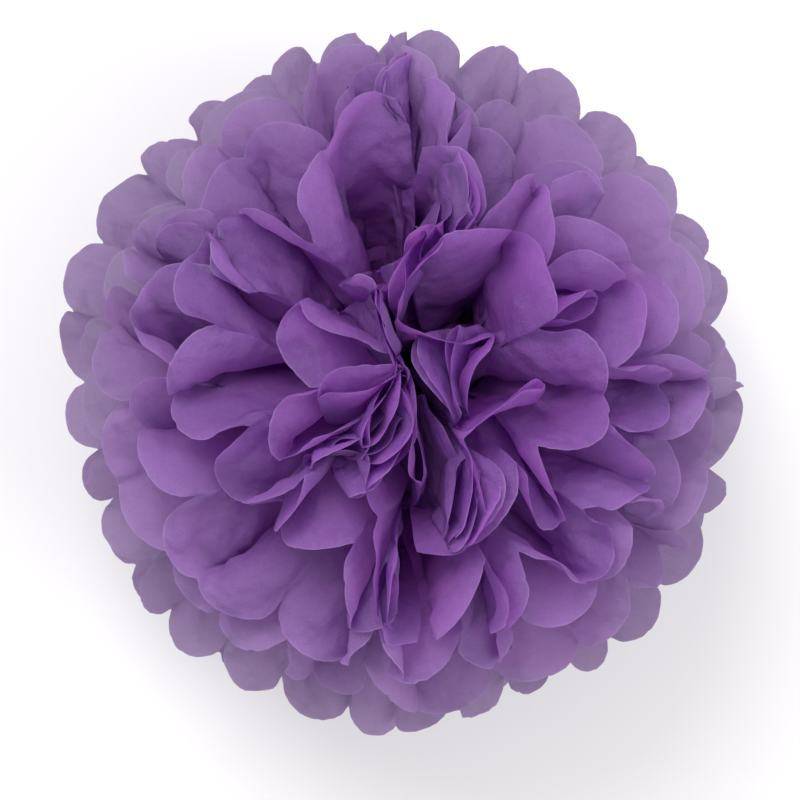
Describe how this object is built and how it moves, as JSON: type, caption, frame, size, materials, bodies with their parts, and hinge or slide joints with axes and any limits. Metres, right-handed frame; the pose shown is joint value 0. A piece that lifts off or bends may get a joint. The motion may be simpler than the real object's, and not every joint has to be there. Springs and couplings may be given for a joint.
{
  "type": "tissue paper pom pom",
  "caption": "Ball of pleated purple tissue paper petals, opened up and down from one pinched stack of sheets, with a twisted wire tie at its middle.",
  "frame": {"origin": "on the surface that the pom pom lies on, under the middle of the ball", "axes": "+Z along the axis of the bloom, from the flattened back to the open face; the folded strip ran along X, so the seams between the half fans lie in the YZ plane and the tie's twisted end points along +Y"},
  "size_m": [0.247, 0.248, 0.2306],
  "materials": {
    "tissue": "matte",
    "wire": "matte"
  },
  "bodies": {
    "root": {"upper_sheet_1": "tissue", "upper_sheet_2": "tissue", "upper_sheet_3": "tissue", "upper_sheet_4": "tissue", "upper_sheet_5": "tissue", "upper_sheet_6": "tissue", "lower_sheet_6": "tissue", "lower_sheet_5": "tissue", "lower_sheet_4": "tissue", "lower_sheet_3": "tissue", "lower_sheet_2": "tissue", "lower_sheet_1": "tissue", "tie_wire": "wire"}
  },
  "joints": []
}
